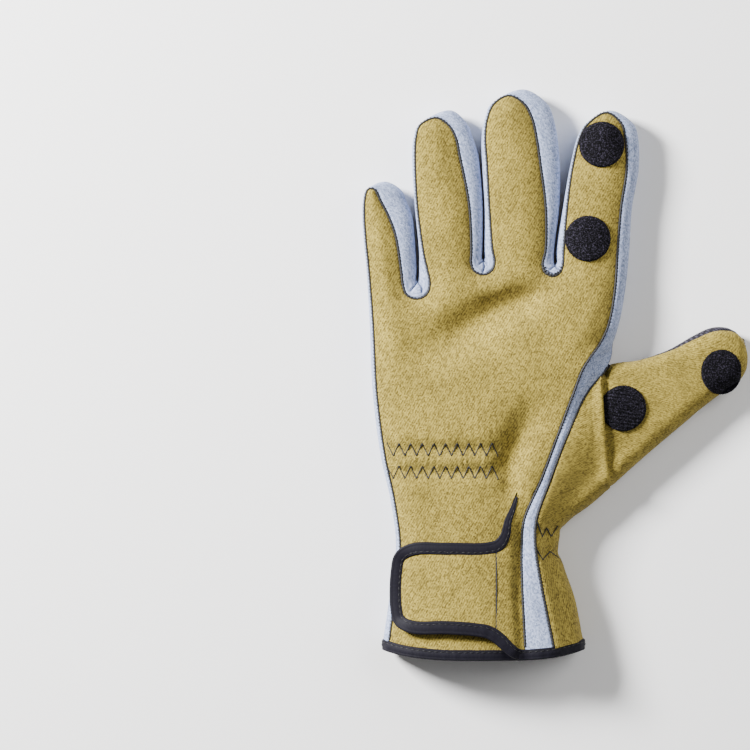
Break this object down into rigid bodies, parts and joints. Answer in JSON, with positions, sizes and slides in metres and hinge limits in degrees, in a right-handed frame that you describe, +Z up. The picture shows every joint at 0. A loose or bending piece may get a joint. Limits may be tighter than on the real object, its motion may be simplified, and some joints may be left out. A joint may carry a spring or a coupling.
{
  "type": "neoprene glove",
  "caption": "Left-hand neoprene fishing glove lying on its palm, with fold-back index and thumb tips, side strips and a wrist strap.",
  "frame": {"origin": "on the surface, under the middle of the glove's outline", "axes": "+X across the hand towards the thumb, +Y along the hand towards the fingertips, +Z up, out of the back of the hand"},
  "size_m": [0.1698, 0.2512, 0.027],
  "materials": {
    "khaki": "matt khaki neoprene with a fine knitted face",
    "grey": "matt light grey-blue knitted neoprene",
    "palm": "dark grey neoprene embossed with small raised dots, slightly shiny",
    "tape": "black woven binding tape",
    "dot": "black hook-and-loop fabric"
  },
  "bodies": {
    "root": {"back_panel": "khaki", "thumb_back": "khaki", "strap": "khaki", "little_strip": "grey", "ring_strip": "grey", "middle_strip": "grey", "index_strip": "grey", "palm_panel": "palm", "thumb_palm": "palm", "strap_binding": "tape", "hem_binding": "tape", "index_slit_band": "tape", "strap_pad": "dot", "index_tip_dot": "dot", "index_base_dot": "dot", "thumb_tip_dot": "dot", "thumb_base_dot": "dot"}
  },
  "joints": []
}
